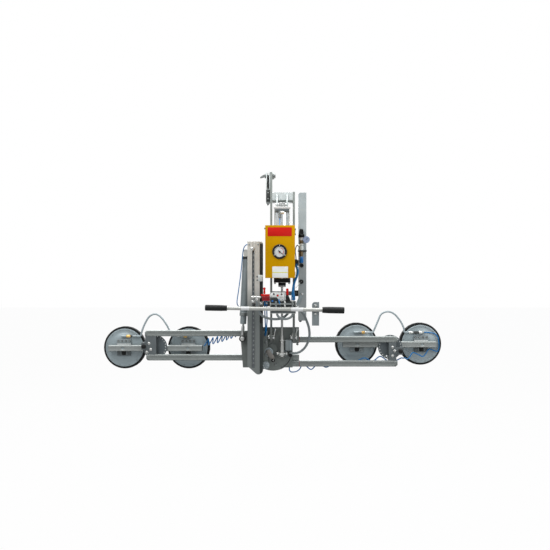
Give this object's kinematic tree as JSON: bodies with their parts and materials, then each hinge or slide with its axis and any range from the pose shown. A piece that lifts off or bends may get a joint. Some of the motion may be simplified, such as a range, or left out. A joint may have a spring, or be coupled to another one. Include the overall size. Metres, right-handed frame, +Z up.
{
  "type": "pneumatic vacuum lifter",
  "caption": "Hanging vacuum lifter: tilting and turning cross frame, two sliding arms with round suction cups, air cylinders, control box and handlebar.",
  "frame": {"origin": "on the axis of the lifting pin, at the middle of the two arms", "axes": "+X to the right along the arms, +Y the way the suction cups face, +Z up"},
  "size_m": [2.4107, 0.4753, 1.3864],
  "materials": {
    "black_plastic": "matte",
    "brass": "satin",
    "bright_steel": "bright",
    "grey_paint": "satin paint",
    "hose_blue": "gloss",
    "hose_grey": "satin",
    "plate_blue_grey": "satin",
    "red_plastic": "gloss",
    "rubber": "matte",
    "yellow_paint": "powder coat",
    "zinc": "galvanised, satin"
  },
  "bodies": {
    "frame": {"upright_left": "zinc", "upright_right": "zinc", "cross_beam": "zinc", "lifting_fork": "grey_paint", "lifting_pin": "bright_steel", "side_post": "grey_paint", "control_box": "yellow_paint", "box_cover": "yellow_paint", "vacuum_ejector": "bright_steel", "gauge_case": "black_plastic", "regulator": "brass", "handlebar": "bright_steel", "grip_left": "black_plastic", "grip_right": "black_plastic", "valve_panel": "bright_steel", "vacuum_valve": "red_plastic", "tilt_valve": "rubber", "side_bracket": "grey_paint", "loop_hose": "hose_grey", "bar_hose": "hose_grey"},
    "gauge_needle": {"gauge_needle": "black_plastic"},
    "regulator_knob": {"regulator_knob": "black_plastic"},
    "push_button": {"push_button": "red_plastic"},
    "vacuum_lever": {"vacuum_lever": "red_plastic"},
    "tilt_lever": {"tilt_lever": "red_plastic"},
    "tilt_cylinder": {"tilt_cylinder": "bright_steel"},
    "tilt_rod": {"tilt_rod": "bright_steel"},
    "head": {"head_plate": "grey_paint", "hinge_pin_left": "bright_steel", "hinge_pin_right": "bright_steel", "mast": "zinc", "mast_foot": "zinc"},
    "rotation_cylinder": {"rotation_cylinder": "grey_paint"},
    "rotation_rod": {"rotation_rod": "bright_steel"},
    "cross_frame": {"turn_plate": "grey_paint", "sleeve_left": "grey_paint", "sleeve_right": "grey_paint"},
    "arm_left": {"arm_tube_upper_left": "zinc", "arm_tube_lower_left": "zinc", "end_post_left": "grey_paint", "coil_hose_left": "hose_blue"},
    "arm_right": {"arm_tube_upper_right": "zinc", "arm_tube_lower_right": "zinc", "end_post_right": "grey_paint", "wave_hose_inner": "hose_blue"},
    "index_knob_left": {"index_knob_left": "black_plastic"},
    "index_knob_right": {"index_knob_right": "black_plastic"},
    "cup_bar_left": {"cup_bar_left": "zinc", "arc_hose_left": "hose_grey"},
    "cup_bar_right": {"cup_bar_right": "zinc", "arc_hose_right": "hose_grey", "wave_hose_outer": "hose_blue"},
    "cup_left_outer": {"cup_plate_left_outer": "plate_blue_grey", "cup_seal_left_outer": "rubber"},
    "cup_left_inner": {"cup_plate_left_inner": "plate_blue_grey", "cup_seal_left_inner": "rubber"},
    "cup_right_outer": {"cup_plate_right_outer": "plate_blue_grey", "cup_seal_right_outer": "rubber"},
    "cup_right_inner": {"cup_plate_right_inner": "plate_blue_grey", "cup_seal_right_inner": "rubber"}
  },
  "joints": [
    {"name": "head_tilt", "type": "hinge", "parent": "frame", "child": "head", "pos_m": [0, 0, -1.109], "axis": [-1, 0, 0], "range_deg": [0, 90], "deforming": ["loop_hose"]},
    {"name": "tilt_cylinder_swing", "type": "hinge", "parent": "frame", "child": "tilt_cylinder", "pos_m": [0.062, -0.06, -0.203], "axis": [-1, 0, 0], "range_deg": [0, 7.19]},
    {"name": "tilt_rod_slide", "type": "slide", "parent": "tilt_cylinder", "child": "tilt_rod", "axis": [0, -0.0584, 0.9983], "range_m": [0, 0.12027]},
    {"name": "cross_frame_turn", "type": "hinge", "parent": "head", "child": "cross_frame", "pos_m": [0, 0.085, -1.187], "axis": [0, -1, 0], "range_deg": [0, 90]},
    {"name": "rotation_cylinder_swing", "type": "hinge", "parent": "head", "child": "rotation_cylinder", "pos_m": [-0.18, 0.019, -0.53], "axis": [0, -1, 0], "range_deg": [0, 10.27]},
    {"name": "rotation_rod_slide", "type": "slide", "parent": "rotation_cylinder", "child": "rotation_rod", "axis": [-0.0519, 0, -0.9987], "range_m": [0, 0.28689]},
    {"name": "arm_left_slide", "type": "slide", "parent": "cross_frame", "child": "arm_left", "axis": [-1, 0, 0], "range_m": [0, 0.08], "deforming": ["coil_hose_left"]},
    {"name": "arm_right_slide", "type": "slide", "parent": "cross_frame", "child": "arm_right", "axis": [1, 0, 0], "range_m": [0, 0.08]},
    {"name": "cup_bar_left_turn", "type": "hinge", "parent": "arm_left", "child": "cup_bar_left", "pos_m": [-0.83, 0.085, -1.184], "axis": [0, -1, 0], "range_deg": [-90, 90]},
    {"name": "index_knob_left_push", "type": "slide", "parent": "arm_left", "child": "index_knob_left", "axis": [0, 1, 0], "range_m": [0, 0.007]},
    {"name": "cup_bar_right_turn", "type": "hinge", "parent": "arm_right", "child": "cup_bar_right", "pos_m": [0.8235, 0.085, -1.184], "axis": [0, -1, 0], "range_deg": [-90, 90], "deforming": ["wave_hose_outer"]},
    {"name": "index_knob_right_push", "type": "slide", "parent": "arm_right", "child": "index_knob_right", "axis": [0, 1, 0], "range_m": [0, 0.007]},
    {"name": "cup_left_outer_press", "type": "slide", "parent": "cup_bar_left", "child": "cup_left_outer", "axis": [0, -1, 0], "range_m": [0, 0.008], "stiffness_N_per_m": 6000},
    {"name": "cup_left_inner_press", "type": "slide", "parent": "cup_bar_left", "child": "cup_left_inner", "axis": [0, -1, 0], "range_m": [0, 0.008], "stiffness_N_per_m": 6000},
    {"name": "cup_right_outer_press", "type": "slide", "parent": "cup_bar_right", "child": "cup_right_outer", "axis": [0, -1, 0], "range_m": [0, 0.008], "stiffness_N_per_m": 6000},
    {"name": "cup_right_inner_press", "type": "slide", "parent": "cup_bar_right", "child": "cup_right_inner", "axis": [0, -1, 0], "range_m": [0, 0.008], "stiffness_N_per_m": 6000},
    {"name": "push_button_press", "type": "slide", "parent": "frame", "child": "push_button", "axis": [0, 1, 0], "range_m": [0, 0.003], "stiffness_N_per_m": 800},
    {"name": "vacuum_lever_turn", "type": "hinge", "parent": "frame", "child": "vacuum_lever", "pos_m": [-0.0555, -0.2082, -0.7997], "axis": [0, 1, 0], "range_deg": [-30, 30]},
    {"name": "tilt_lever_turn", "type": "hinge", "parent": "frame", "child": "tilt_lever", "pos_m": [0.0945, -0.2082, -0.819], "axis": [1, 0, 0], "range_deg": [-20, 20], "stiffness_Nm_per_rad": 1.5},
    {"name": "regulator_knob_turn", "type": "hinge", "parent": "frame", "child": "regulator_knob", "pos_m": [0.193, -0.0455, -0.4268], "axis": [0, 0, 1], "range_deg": [0, 350]},
    {"name": "gauge_needle_turn", "type": "hinge", "parent": "frame", "child": "gauge_needle", "pos_m": [0.0437, -0.25, -0.5329], "axis": [0, -1, 0], "range_deg": [0, 270]}
  ],
  "couplings": [
    {"joint": "tilt_cylinder_swing", "follows": "head_tilt", "ratio": 0.079286},
    {"joint": "tilt_rod_slide", "follows": "head_tilt", "m_per_rad": 0.076247},
    {"joint": "rotation_cylinder_swing", "follows": "cross_frame_turn", "ratio": 0.11354},
    {"joint": "rotation_rod_slide", "follows": "cross_frame_turn", "m_per_rad": 0.18232}
  ]
}
